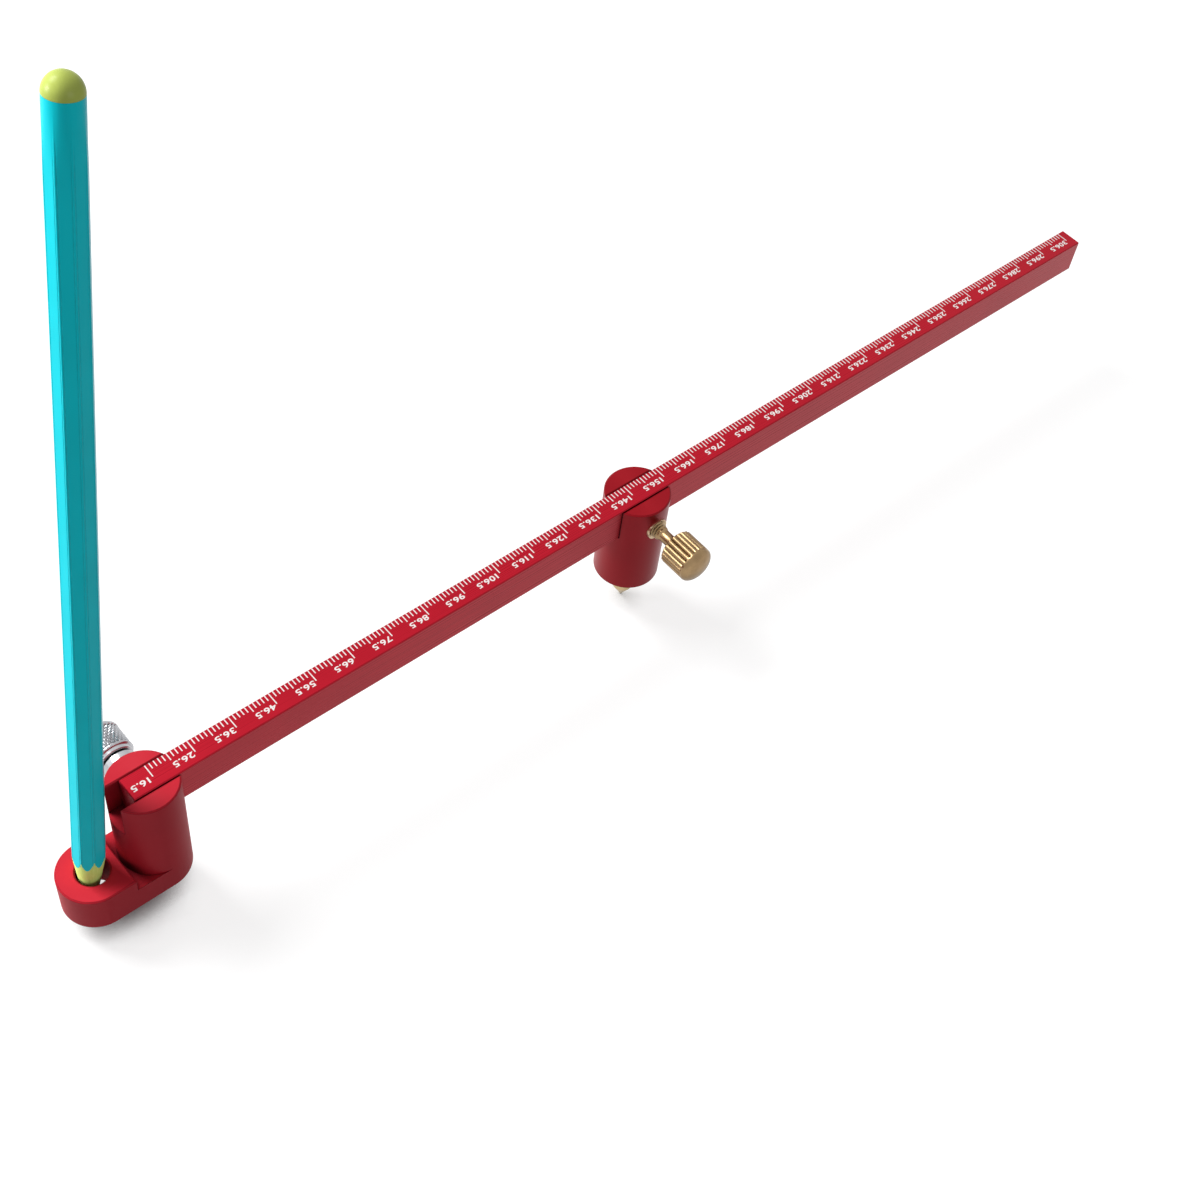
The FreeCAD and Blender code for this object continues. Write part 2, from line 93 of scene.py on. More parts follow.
class Wiring:
    """Adds nodes to one node tree and joins their sockets."""

    def __init__(self, tree: bpy.types.NodeTree) -> None:
        """Takes the tree that the nodes go in."""
        self.tree = tree

    def feed(self, node: bpy.types.Node, sockets: Sockets) -> None:
        """Links another node's output to an input, or sets the input to a plain value.

        Args:
            node: The node that is fed.
            sockets: A value or an output for each named or numbered input.
        """
        for key, given in sockets.items():
            if isinstance(given, bpy.types.NodeSocket):
                self.tree.links.new(given, node.inputs[key])
            else:
                node.inputs[key].default_value = given

    def add(self, kind: str, sockets: Sockets | None = None, **settings: object) -> bpy.types.Node:
        """Adds one node.

        Args:
            kind: The node's type, such as ShaderNodeTexNoise.
            sockets: A value or another node's output for each input that is set.
            settings: Properties of the node itself.

        Returns:
            The new node.
        """
        node = self.tree.nodes.new(kind)
        for name, setting in settings.items():
            setattr(node, name, setting)
        self.feed(node, sockets or {})
        return node

    def math(self, operation: str, *values: object, clamp: bool = False) -> bpy.types.NodeSocket:
        """Adds a Math node.

        Args:
            operation: The node's operation.
            values: Up to three numbers or outputs.
            clamp: Whether the result is held between 0 and 1.

        Returns:
            The node's output.
        """
        node = self.add("ShaderNodeMath", dict(enumerate(values)), operation=operation, use_clamp=clamp)
        return node.outputs[0]

    def vector(self, operation: str, *values: object, out: str = "Vector") -> bpy.types.NodeSocket:
        """Adds a Vector Math node.

        Args:
            operation: The node's operation.
            values: Vectors or outputs.
            out: The name of the output wanted.

        Returns:
            The node's output.
        """
        return self.add("ShaderNodeVectorMath", dict(enumerate(values)), operation=operation).outputs[out]

    def blend(self, share: object, first: object, second: object) -> bpy.types.NodeSocket:
        """Adds a colour Mix node.

        Args:
            share: How much of the second colour shows.
            first: The first colour.
            second: The second colour.

        Returns:
            The mixed colour.
        """
        sockets = {0: share, 6: first, 7: second}
        return self.add("ShaderNodeMix", sockets, data_type="RGBA", clamp_factor=True).outputs[2]

    def ramp(self, source: object, low: float, high: float, to_low: float = 0.0, to_high: float = 1.0,
             smooth: bool = False) -> bpy.types.NodeSocket:
        """Adds a Map Range node.

        Args:
            source: The value that is mapped.
            low: The value that becomes to_low.
            high: The value that becomes to_high.
            to_low: The result at low.
            to_high: The result at high.
            smooth: Whether the step is eased at both ends.

        Returns:
            The mapped value.
        """
        sockets = {"Value": source, "From Min": low, "From Max": high, "To Min": to_low, "To Max": to_high}
        shape = "SMOOTHSTEP" if smooth else "LINEAR"
        return self.add("ShaderNodeMapRange", sockets, interpolation_type=shape).outputs[0]

    def weaken(self, mask: bpy.types.NodeSocket, share: float) -> bpy.types.NodeSocket:
        """Returns a share of a mask."""
        return self.math("MULTIPLY", mask, share)

    def looked_at(self) -> bpy.types.NodeSocket:
        """Tells what is seen, straight, in a reflection or through glass, from the light that is thrown back.

        Returns:
            A value that is 1 for what is seen and 0 for thrown light.
        """
        path = self.add("ShaderNodeLightPath")
        turned = self.math("MAXIMUM", path.outputs["Is Glossy Ray"], path.outputs["Is Transmission Ray"])
        return self.math("MAXIMUM", path.outputs["Is Camera Ray"], turned)


class Effect:
    """A shader node group that is built once and placed in each material that shows it."""

    built: dict[str, bpy.types.NodeTree] = {}

    def __init__(self, name: str, inputs: Sequence[tuple[str, str, object]], outputs: Sequence[str],
                 draw: Callable[[Wiring, bpy.types.Node, bpy.types.Node], None]) -> None:
        """Names the group, its sockets, and what draws its nodes.

        Args:
            name: The group's name.
            inputs: Name, socket type and default of each input.
            outputs: The name of each output, all of them masks.
            draw: Fills the group between its input node and its output node.
        """
        self.name = name
        self.inputs = inputs
        self.outputs = outputs
        self.draw = draw

    def tree(self) -> bpy.types.NodeTree:
        """Builds the group the first time it is wanted.

        Returns:
            The group's node tree.
        """
        if self.name not in self.built:
            tree = bpy.data.node_groups.new(self.name, "ShaderNodeTree")
            for name, kind, default in self.inputs:
                socket = tree.interface.new_socket(name, in_out="INPUT", socket_type=kind)
                if default is not None:
                    socket.default_value = default
            for name in self.outputs:
                tree.interface.new_socket(name, in_out="OUTPUT", socket_type="NodeSocketFloat")
            wiring = Wiring(tree)
            self.draw(wiring, wiring.add("NodeGroupInput"), wiring.add("NodeGroupOutput"))
            self.built[self.name] = tree
        return self.built[self.name]

    def place(self, wiring: Wiring, **values: object) -> bpy.types.Node:
        """Puts the group in a material.

        Args:
            wiring: The material's wiring.
            values: A value or output for each input, with spaces in its name as underscores.

        Returns:
            The group node.
        """
        sockets = {key.replace("_", " "): given for key, given in values.items()}
        return wiring.add("ShaderNodeGroup", sockets, node_tree=self.tree())


NOISE_SPREAD = (0.3, 0.7)
CLOSE_SPREAD = (0.35, 0.65)


def draw_grain(wiring: Wiring, given: bpy.types.Node, result: bpy.types.Node) -> None:
    """Draws stretched noise in two sizes: fine lines or pits, and broad patches of tone.

    Args:
        wiring: The group's wiring.
        given: The group's input node.
        result: The group's output node.
    """
    stretched = wiring.vector("MULTIPLY", given.outputs["Vector"], given.outputs["Stretch"])
    fine = wiring.add("ShaderNodeTexNoise", {
        "Vector": stretched, "Scale": 1.0, "Detail": 3.0, "Roughness": 0.6})
    broad = wiring.add("ShaderNodeTexNoise", {
        "Vector": given.outputs["Vector"], "Scale": given.outputs["Patch Scale"], "Detail": 2.0})
    wiring.feed(result, {
        "Lines": wiring.ramp(fine.outputs[0], *NOISE_SPREAD),
        "Patches": wiring.ramp(broad.outputs[0], *CLOSE_SPREAD)})


def draw_edges(wiring: Wiring, given: bpy.types.Node, result: bpy.types.Node) -> None:
    """Draws a mask that is 1 on the outside edges of a piece, broken up by noise.

    Args:
        wiring: The group's wiring.
        given: The group's input node.
        result: The group's output node.
    """
    level, sharp = 0.985, 0.88
    gap, whole, faintest = 0.35, 0.6, 0.55
    rounded = wiring.add("ShaderNodeBevel", {"Radius": given.outputs["Radius"]}, samples=4)
    flat = wiring.add("ShaderNodeNewGeometry")
    turned = wiring.vector("DOT_PRODUCT", rounded.outputs[0], flat.outputs["Normal"], out="Value")
    edge = wiring.ramp(turned, level, sharp)
    speckle = wiring.add("ShaderNodeTexNoise", {
        "Vector": given.outputs["Vector"], "Scale": 900.0, "Detail": 3.0})
    broken = wiring.ramp(speckle.outputs[0], gap, whole, faintest, 1.0)
    wiring.feed(result, {"Mask": wiring.math("MULTIPLY", edge, broken, clamp=True)})


def draw_rings(wiring: Wiring, given: bpy.types.Node, result: bpy.types.Node) -> None:
    """Draws the fine rings that a lathe leaves round an axis along Z.

    Args:
        wiring: The group's wiring.
        given: The group's input node.
        result: The group's output node.
    """
    from_axis = wiring.vector("SUBTRACT", given.outputs["Vector"], given.outputs["Centre"])
    flat = wiring.vector("MULTIPLY", from_axis, (1.0, 1.0, 0.0))
    reach = wiring.vector("LENGTH", flat, out="Value")
    depth = wiring.add("ShaderNodeSeparateXYZ", {0: given.outputs["Vector"]}).outputs[2]
    along = wiring.add("ShaderNodeCombineXYZ", {
        0: wiring.math("MULTIPLY", reach, given.outputs["Pitch"]),
        1: wiring.math("MULTIPLY", depth, given.outputs["Pitch"])})
    lines = wiring.add("ShaderNodeTexNoise", {"Vector": along.outputs[0], "Scale": 1.0, "Detail": 2.0})
    wiring.feed(result, {"Lines": wiring.ramp(lines.outputs[0], *NOISE_SPREAD)})


GRAIN = Effect(
    "stretched_grain",
    [("Vector", "NodeSocketVector", None), ("Stretch", "NodeSocketVector", (1.0, 1.0, 1.0)),
     ("Patch Scale", "NodeSocketFloat", 60.0)],
    ["Lines", "Patches"],
    draw_grain,
)
# The anodised finishes and the lacquers paint shade on this mask; the turned metals show rubbed wear on it.
EDGES = Effect(
    "edge_wear_and_shade",
    [("Vector", "NodeSocketVector", None), ("Radius", "NodeSocketFloat", 0.0003)],
    ["Mask"],
    draw_edges,
)
RINGS = Effect(
    "lathe_rings",
    [("Vector", "NodeSocketVector", None), ("Centre", "NodeSocketVector", (0.0, 0.0, 0.0)),
     ("Pitch", "NodeSocketFloat", 9000.0)],
    ["Lines"],
    draw_rings,
)


# ---------------------------------------------------------------- finishes


class Grain(Enum):
    """How a surface was worked before it was finished, as the stretch of its tool lines per metre."""

    DRAWN = (12.0, 5200.0, 5200.0)
    TURNED = (1400.0, 1400.0, 1400.0)


class Mottle(Enum):
    """The size of a finish's mottle: the mask that mixes its tones, and the one its roughness follows."""

    BROAD = ("Patches", "Lines")
    FINE = ("Lines", "Patches")


@dataclass(frozen=True)
class Finish:
    """What all finishes share: a name, its clean tone, a second tone for its worn, grained or mottled places
    and for painted shade, and its shader.
    """

    name: str
    colour: Colour
    shade: Colour

    def material(self) -> bpy.types.Material:
        """Builds the material, or returns the one that already has its name.

        Returns:
            The material of this finish.
        """
        made = bpy.data.materials.get(self.name)
        if made is None:
            made = bpy.data.materials.new(self.name)
            made.use_nodes = True
            wiring = Wiring(made.node_tree)
            place = wiring.add("ShaderNodeTexCoord").outputs["Object"]
            wiring.feed(made.node_tree.nodes["Principled BSDF"], self.sockets(wiring, place))
        return made

    def sockets(self, wiring: Wiring, place: bpy.types.NodeSocket) -> Sockets:
        """Adds the finish's own nodes.

        Args:
            wiring: The material's wiring.
            place: The point on the surface, in the piece's own frame.

        Returns:
            What each socket of the shader gets.
        """
        raise NotImplementedError

    @staticmethod
    def bump(wiring: Wiring, height: bpy.types.NodeSocket, depth: float,
             strength: float = 0.5) -> bpy.types.NodeSocket:
        """Adds a Bump node.

        Args:
            wiring: The material's wiring.
            height: The height over the surface, 0 to 1.
            depth: How deep the relief is, in metres.
            strength: How much of it shows.

        Returns:
            The bumped normal.
        """
        sockets = {"Strength": strength, "Distance": depth, "Height": height}
        return wiring.add("ShaderNodeBump", sockets).outputs[0]

    @staticmethod
    def hollow(wiring: Wiring, reach: float, deep: float, free: float,
               alone: bool = False) -> bpy.types.NodeSocket:
        """Finds where a surface lies in a hollow by ambient occlusion; the finishes paint shade there.

        Args:
            wiring: The material's wiring.
            reach: How far away the walls of a hollow may be, in millimetres.
            deep: The openness that counts as fully hollow.
            free: The openness that counts as outside.
            alone: Whether only the piece's own walls count.

        Returns:
            A mask that is 1 in a hollow.
        """
        sky = wiring.add("ShaderNodeAmbientOcclusion", {"Distance": reach * MM}, samples=8, only_local=alone)
        return wiring.ramp(sky.outputs["AO"], deep, free, 1.0, 0.0)


@dataclass(frozen=True)
class Anodised(Finish):
    """Dyed satin aluminium: even colour, fine tool lines, and painted shade on its broken edges and in its
    hollows.
    """

    roughness: float = 0.36
    metallic: float = 0.25
    worked: Grain = Grain.TURNED
    centre_x: float = 0.0
    edge_radius: float = 0.3
    gloss: float = 0.12
    anisotropy: float = 0.55
    patch_tone: float = 0.86
    patch_share: float = 0.5
    edge_shade_share: float = 0.72
    recess_reach: float = 5.0
    recess_shade_share: float = 0.88
    recess_dull: float = 0.4
    ring_share: float = 0.7

    def sockets(self, wiring: Wiring, place: bpy.types.NodeSocket) -> Sockets:
        """Joins tone patches, tool lines, and painted shade on the edges and in the hollows.

        Args:
            wiring: The material's wiring.
            place: The point on the surface, in the piece's own frame.

        Returns:
            What each socket of the shader gets.
        """
        grain = GRAIN.place(wiring, Vector=place, Stretch=self.worked.value, Patch_Scale=70.0)
        edges = EDGES.place(wiring, Vector=place, Radius=self.edge_radius * MM)
        hollow = self.hollow(wiring, self.recess_reach, deep=0.2, free=0.72)
        patches = wiring.weaken(grain.outputs["Patches"], self.patch_share)
        tone = wiring.blend(patches, self.colour, darker(self.colour, self.patch_tone))
        # Painted shade: the broken edges are blended towards the dark second colour.
        tone = wiring.blend(wiring.weaken(edges.outputs["Mask"], self.edge_shade_share), tone, self.shade)
        # Painted shade: hollows found by ambient occlusion are blended towards the same dark colour.
        tone = wiring.blend(wiring.weaken(hollow, self.recess_shade_share), tone, self.shade)
        lines = grain.outputs["Lines"]
        turned: Sockets = {}
        if self.worked is Grain.TURNED:
            centre = (MM * self.centre_x, 0.0, 0.0)
            rings = RINGS.place(wiring, Vector=place, Centre=centre, Pitch=9000.0)
            lines = wiring.math("ADD", wiring.weaken(rings.outputs["Lines"], self.ring_share),
                                wiring.weaken(lines, 1 - self.ring_share))
            flat = wiring.vector("MULTIPLY", wiring.vector("SUBTRACT", place, centre), (1.0, 1.0, 0.0))
            run = wiring.vector("CROSS_PRODUCT", (0.0, 0.0, 1.0), flat)
            turned = {"Anisotropic": self.anisotropy, "Tangent": wiring.vector("NORMALIZE", run)}
        worn = wiring.ramp(lines, 0, 1, self.roughness - 0.03, self.roughness + 0.05)
        dull = wiring.math("ADD", worn, wiring.weaken(hollow, self.recess_dull), clamp=True)
        return turned | {
            "Base Color": tone, "Metallic": self.metallic, "Specular IOR Level": self.gloss,
            "Roughness": dull, "Normal": self.bump(wiring, lines, depth=0.000004)}


@dataclass(frozen=True)
class TurnedMetal(Finish):
    """Bare metal from the lathe: rings round the axis, tarnish in broad patches, painted shade towards its
    outline and in the grooves.
    """

    roughness: float = 0.22
    centre_x: float = 0.0
    tarnish_share: float = 0.45
    rubbed_share: float = 0.5
    rim_shade_share: float = 0.7
    edge_radius: float = 0.12
    # The colour of the painted shade in the grooves.
    groove_shade: Colour = paint(40, 34, 26)
    groove_reach: float = 0.7

    def sockets(self, wiring: Wiring, place: bpy.types.NodeSocket) -> Sockets:
        """Joins tarnish, tool rings, rubbed edges, and painted shade at grazing view and in the grooves.

        Args:
            wiring: The material's wiring.
            place: The point on the surface, in the piece's own frame.

        Returns:
            What each socket of the shader gets.
        """
        rings = RINGS.place(wiring, Vector=place, Centre=(MM * self.centre_x, 0.0, 0.0), Pitch=14000.0)
        grain = GRAIN.place(wiring, Vector=place, Stretch=(900.0, 900.0, 900.0), Patch_Scale=260.0)
        edges = EDGES.place(wiring, Vector=place, Radius=self.edge_radius * MM)
        dulled = wiring.weaken(grain.outputs["Patches"], self.tarnish_share)
        rubbed = wiring.weaken(edges.outputs["Mask"], self.rubbed_share)
        tone = wiring.blend(wiring.math("SUBTRACT", dulled, rubbed, clamp=True), self.colour, self.shade)
        # Painted shade: by Layer Weight's Facing, the colour turns towards the duller second colour where the
        # surface turns away from the view.
        turned = wiring.add("ShaderNodeLayerWeight", {"Blend": 0.4}).outputs["Facing"]
        rim = wiring.ramp(turned, 0.45, 0.95, 0.0, self.rim_shade_share, smooth=True)
        # Painted shade: grooves and other hollows of the piece, found by ambient occlusion, are blended
        # towards a dark colour.
        groove = self.hollow(wiring, self.groove_reach, deep=0.4, free=0.85, alone=True)
        lines = grain.outputs["Lines"]
        return {
            "Base Color": wiring.blend(groove, wiring.blend(rim, tone, self.shade), self.groove_shade),
            "Metallic": 1.0,
            "Roughness": wiring.ramp(lines, 0, 1, self.roughness - 0.04, self.roughness + 0.08),
            "Normal": self.bump(wiring, rings.outputs["Lines"], depth=0.000003)}


@dataclass(frozen=True)
class Lacquer(Finish):
    """Glossy pencil lacquer over wood: slight ripple, and painted shade on the corners."""

    roughness: float = 0.28
    edge_radius: float = 0.22
    corner_shade_share: float = 0.45
    patch_tone: float = 0.9
    patch_share: float = 0.5

    def sockets(self, wiring: Wiring, place: bpy.types.NodeSocket) -> Sockets:
        """Joins the ripple and the painted shade on the corners.

        Args:
            wiring: The material's wiring.
            place: The point on the surface, in the piece's own frame.

        Returns:
            What each socket of the shader gets.
        """
        grain = GRAIN.place(wiring, Vector=place, Stretch=(2200.0, 2200.0, 60.0), Patch_Scale=120.0)
        edges = EDGES.place(wiring, Vector=place, Radius=self.edge_radius * MM)
        lines = grain.outputs["Lines"]
        patches = wiring.weaken(grain.outputs["Patches"], self.patch_share)
        tone = wiring.blend(patches, self.colour, darker(self.colour, self.patch_tone))
        # Painted shade: the corners are blended towards the darker second colour.
        thin = wiring.weaken(edges.outputs["Mask"], self.corner_shade_share)
        return {
            "Base Color": wiring.blend(thin, tone, self.shade),
            "Roughness": wiring.ramp(lines, 0, 1, self.roughness, self.roughness + 0.1),
            "Specular IOR Level": 0.12,
            "Normal": self.bump(wiring, lines, depth=0.000006, strength=0.35)}


@dataclass(frozen=True)
class BareWood(Finish):
    """Cut pencil wood: fine fibres along the pencil, and knife rings round the cone."""

    fibre_share: float = 0.55
    ring_share: float = 0.2

    def sockets(self, wiring: Wiring, place: bpy.types.NodeSocket) -> Sockets:
        """Joins the fibres and the knife rings.

        Args:
            wiring: The material's wiring.
            place: The point on the surface, in the piece's own frame.

        Returns:
            What each socket of the shader gets.
        """
        fibres = GRAIN.place(wiring, Vector=place, Stretch=(2600.0, 2600.0, 130.0), Patch_Scale=300.0)
        rings = RINGS.place(wiring, Vector=place, Pitch=4200.0)
        along, round_it = fibres.outputs["Lines"], rings.outputs["Lines"]
        tone = wiring.blend(wiring.weaken(along, self.fibre_share), self.colour, self.shade)
        return {
            "Base Color": wiring.blend(wiring.weaken(round_it, self.ring_share), tone, self.shade),
            "Roughness": 0.62,
            "Normal": self.bump(wiring, wiring.math("ADD", along, round_it), depth=0.000012, strength=0.6)}


@dataclass(frozen=True)
class Speckled(Finish):
    """A dull stuff that is mottled between two tones, such as nylon or marking ink."""

    stretch: tuple[float, float, float] = (1800.0, 600.0, 1800.0)
    patch_scale: float = 500.0
    mottle: Mottle = Mottle.BROAD
    mottle_share: float = 1.0
    smooth: float = 0.42
    rough: float = 0.56
    relief: float = 0.00001
    relief_share: float = 0.5
    metallic: float = 0.0
    milky: float = 0.0
    milky_depth: float = 0.0008

    def sockets(self, wiring: Wiring, place: bpy.types.NodeSocket) -> Sockets:
        """Joins the mottle and the fine relief.

        Args:
            wiring: The material's wiring.
            place: The point on the surface, in the piece's own frame.

        Returns:
            What each socket of the shader gets.
        """
        grain = GRAIN.place(wiring, Vector=place, Stretch=self.stretch, Patch_Scale=self.patch_scale)
        mixing, dulling = (grain.outputs[mask] for mask in self.mottle.value)
        mottle = wiring.weaken(mixing, self.mottle_share)
        return {
            "Base Color": wiring.blend(mottle, self.colour, self.shade),
            "Metallic": self.metallic,
            "Subsurface Weight": self.milky,
            "Subsurface Scale": self.milky_depth,
            "Roughness": wiring.ramp(dulling, 0, 1, self.smooth, self.rough),
            "Normal": self.bump(wiring, grain.outputs["Lines"], self.relief, self.relief_share)}


# ---------------------------------------------------------------- mesh making


def new_piece(name: str, points: Sequence[Sequence[float]], faces: Sequence[Sequence[int]],
              finish: Finish, crease_degrees: float = 30.0) -> bpy.types.Object:
    """Makes a mesh piece from points in millimetres.

    Args:
        name: The piece's name.
        points: The corners, in millimetres.
        faces: The corner numbers of each face.
        finish: The finish it gets.
        crease_degrees: Faces that meet at more than this stay sharp.

    Returns:
        The new object, at the origin.
    """
    mesh = bpy.data.meshes.new(name)
    mesh.from_pydata([tuple(MM * at for at in point) for point in points], [], faces)
    mesh.validate()
    mesh.shade_smooth()
    mesh.set_sharp_from_angle(angle=math.radians(crease_degrees))
    mesh.materials.append(finish.material())
    piece = bpy.data.objects.new(name, mesh)
    bpy.context.scene.collection.objects.link(piece)
    return piece


def dress(node: str, finish: Finish) -> None:
    """Gives a CAD node its finish.

    Args:
        node: The node's name.
        finish: The finish it gets.
    """
    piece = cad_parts[node]
    for slot in piece.material_slots:
        slot.material = finish.material()
    LOG.info("dressed %s in %s", node, finish.name)


@dataclass(frozen=True)
class Station:
    """One ring of a turned piece: how far along, its radius, and how deep it may be cut."""

    along: float
    radius: float
    cut: float = 0.0


def around(angle: float, radius: float, z: float) -> Point:
    """Returns the point at an angle and a distance about Z."""
    return radius * math.cos(angle), radius * math.sin(angle), z


def band(low: int, high: int, count: int) -> list[list[int]]:
    """Joins two rings of points with a row of faces.

    Args:
        low: The number of the lower ring's first point.
        high: The number of the upper ring's first point.
        count: How many points each ring has.

    Returns:
        The faces.
    """
    faces = []
    for step in range(count):
        after = (step + 1) % count
        faces.append([low + step, low + after, high + after, high + step])
    return faces


def revolve(stations: Sequence[Station], segments: int,
            pattern: Callable[[float, float], float]) -> tuple[list[Point], list[list[int]]]:
    """Turns a row of rings into a closed skin about Z.

    Args:
        stations: The rings from one end to the other.
        segments: How many points each ring has.
        pattern: The depth of the cut, 0 to 1, at an angle in radians and a distance along the axis.

    Returns:
        The points in millimetres and the faces.
    """
    points: list[Point] = []
    for ring in stations:
        for angle in steps(0.0, math.tau, segments)[:-1]:
            depth = ring.cut * pattern(angle, ring.along) if ring.cut else 0.0
            points.append(around(angle, ring.radius - depth, ring.along))
    faces = []
    for ring in range(len(stations) - 1):
        faces += band(ring * segments, (ring + 1) * segments, segments)
    for ring, outward in ((0, False), (len(stations) - 1, True)):
        hub = len(points)
        points.append((0.0, 0.0, stations[ring].along))
        for step in range(segments):
            pair = [ring * segments + step, ring * segments + (step + 1) % segments]
            faces.append([*pair, hub] if outward else [*reversed(pair), hub])
    return points, faces


def steps(start: float, end: float, count: int) -> list[float]:
    """Returns count + 1 even steps from start to end."""
    return [start + (end - start) * index / count for index in range(count + 1)]


def triangle(turn: float) -> float:
    """Returns a wave that is 0 at whole turns and 1 halfway between them."""
    return 1 - abs(2 * (turn % 1.0) - 1)


# ---------------------------------------------------------------- finishes of this compass
#
# BUSH_BRASS, POINT_BRASS and LEAD have the names of plain materials that come with the frame, so
# Finish.material finds those, and the bushes, the centre point and the lead wear them.

# The second colour of each anodised finish is painted shade for its edges and hollows; that of each lacquer
# is painted shade for the pencil's corners; that of each turned metal is its tarnish and a painted shade at
# grazing view.
BAR_RED = Anodised(
    "bar_red", paint(186, 22, 42), paint(74, 8, 18), roughness=0.28, metallic=0.47,
    worked=Grain.DRAWN, edge_radius=0.16)
TOWER_RED = Anodised(
    "tower_red", paint(217, 44, 60), paint(58, 7, 14), roughness=0.5, metallic=0.04,
    centre_x=TOWER_X, gloss=0.09)
SLIDER_RED = Anodised(
    "slider_red", paint(160, 12, 28), paint(50, 4, 10), roughness=0.34, metallic=0.36,
    centre_x=SLIDER_X, gloss=0.15)
BRASS = TurnedMetal("turned_brass", paint(160, 133, 98), paint(106, 85, 58), roughness=0.3)
BUSH_BRASS = TurnedMetal("bush_brass", paint(102, 66, 57), paint(67, 42, 36), roughness=0.4)
POINT_BRASS = TurnedMetal(
    "point_brass", paint(244, 218, 142), paint(196, 166, 98), centre_x=SLIDER_X, tarnish_share=0.2)
STEEL = TurnedMetal(
    "turned_steel", paint(192, 193, 197), paint(120, 121, 126), roughness=0.24, tarnish_share=0.35,
    groove_shade=paint(24, 25, 28), groove_reach=0.6)
TURQUOISE = Lacquer("turquoise_lacquer", paint(8, 206, 220), paint(3, 138, 149))
END_DIP = Lacquer("end_dip", paint(173, 187, 90), paint(134, 144, 56))
WOOD = BareWood("bare_wood", paint(230, 255, 150), paint(196, 226, 100))
LEAD = Speckled(
    "graphite", paint(34, 34, 37), paint(78, 78, 82), stretch=(5200.0, 5200.0, 5200.0), patch_scale=900.0,
    mottle=Mottle.FINE, smooth=0.38, rough=0.55, relief=0.000008, metallic=0.35)
NYLON = Speckled(
    "turned_nylon", paint(232, 228, 214), paint(206, 200, 182), relief_share=0.4, milky=0.15)
INK = Speckled(
    "mark_white", paint(250, 246, 244), paint(236, 206, 206), stretch=(3500.0, 3500.0, 3500.0),
    patch_scale=1500.0, mottle_share=0.35, smooth=0.5, rough=0.7, relief=0.000004)


# ---------------------------------------------------------------- sub-assemblies


@dataclass
class ScaledBar:
    """The square bar, with a printed scale whose marks stand at their own X."""

    first_mark: float = 16.5
    span: int = 290
    top: float = 39.0
    half_width: float = 3.0
    edge: float = 0.2
    mark_width: float = 0.26
    short: float = 1.7
    medium: float = 2.2
    long: float = 3.4
    film: float = 0.015
    sunk: float = 0.01
    digit_height: float = 1.5
    cap_share: float = 0.73
    digit_widen: float = 1.32
    digit_space: float = 1.06
    one_close: float = -4.5
    digit_base: float = 0.05
    digit_start: float = 0.45
    digit_weight: float = 0.045
    digit_smoothness: int = 4

    def mark_length(self, index: int) -> float:
        """Finds the length of one mark.

        Args:
            index: Its place in the row.

        Returns:
            The length: every tenth mark is long, and every fifth is of medium length.
        """
        if index % 10 == 0:
            return self.long
        return self.medium if index % 5 == 0 else self.short

    def marks(self) -> bpy.types.Object:
        """Makes the 291 marks as thin closed slabs of ink.

        Returns:
            The marks as one piece.
        """
        points: list[Point] = []
        faces: list[list[int]] = []
        start = self.half_width - self.edge
        for index in range(self.span + 1):
            x = self.first_mark + index
            end = self.half_width - self.mark_length(index)
            base = len(points)
            for z in (self.top - self.sunk, self.top + self.film):
                for across, along in ((-1, end), (1, end), (1, start), (-1, start)):
                    points.append((x + across * self.mark_width / 2, along, z))
            faces += [[base + corner for corner in face] for face in (
                (3, 2, 1, 0), (4, 5, 6, 7), (0, 1, 5, 4), (1, 2, 6, 5), (2, 3, 7, 6), (3, 0, 4, 7))]
        return new_piece("scale_marks", points, faces, INK)

    def numeral(self, index: int) -> bpy.types.Mesh:
        """Makes one number, standing beside its long mark and read from the far side of the bar.

        Args:
            index: The place of its mark in the row.

        Returns:
            The number's mesh, in metres.
        """
        text = bpy.data.curves.new("number", "FONT")
        text.body = f"{self.first_mark + index:.1f}"
        text.size = self.digit_height / self.cap_share
        text.extrude = (self.film + self.sunk) / 2
        text.offset = self.digit_weight
        text.space_character = self.digit_space
        for digit, style in zip(text.body, text.body_format):
            style.kerning = self.one_close if digit == "1" else 0.0
        text.resolution_u = self.digit_smoothness
        holder = bpy.data.objects.new("number", text)
        bpy.context.scene.collection.objects.link(holder)
        bpy.context.view_layer.update()
        made = bpy.data.meshes.new_from_object(holder)
        narrow = Matrix.Diagonal((self.digit_widen, 1.0, 1.0, 1.0))
        place = Matrix.Translation((
            self.first_mark + index - self.digit_start, self.digit_base,
            self.top + (self.film - self.sunk) / 2))
        made.transform(Matrix.Scale(MM, 4) @ place @ Matrix.Rotation(math.pi, 4, "Z") @ narrow)
        bpy.data.objects.remove(holder)
        bpy.data.curves.remove(text)
        return made

    def numerals(self) -> bpy.types.Object:
        """Joins all the numbers into one piece.

        Returns:
            The numbers as one piece.
        """
        points: list[Point] = []
        faces: list[list[int]] = []
        for index in range(0, self.span + 1, 10):
            made = self.numeral(index)
            base = len(points)
            points += [tuple(corner.co / MM) for corner in made.vertices]
            faces += [[base + corner for corner in face.vertices] for face in made.polygons]
            bpy.data.meshes.remove(made)
        return new_piece("scale_numerals", points, faces, INK)

    def build(self) -> list[bpy.types.Object]:
        """Dresses the bar and lays its scale on it.

        Returns:
            The new pieces.
        """
        dress("beam", BAR_RED)
        pieces = [self.marks(), self.numerals()]
        for piece in pieces:
            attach(piece, "beam")
        return pieces


@dataclass(frozen=True)
class HeadRing:
    """One ring of a head: how far along, how far inside its full radius, and its share of the knurl."""

    along: float
    inset: float = 0.0
    cut: float = 0.0

    def station(self, origin: float, radius: float, depth: float) -> Station:
        """Returns this ring on a head, from a point on the axis, the full radius and the knurl's depth."""
        return Station(origin + self.along, radius - self.inset, depth * self.cut)


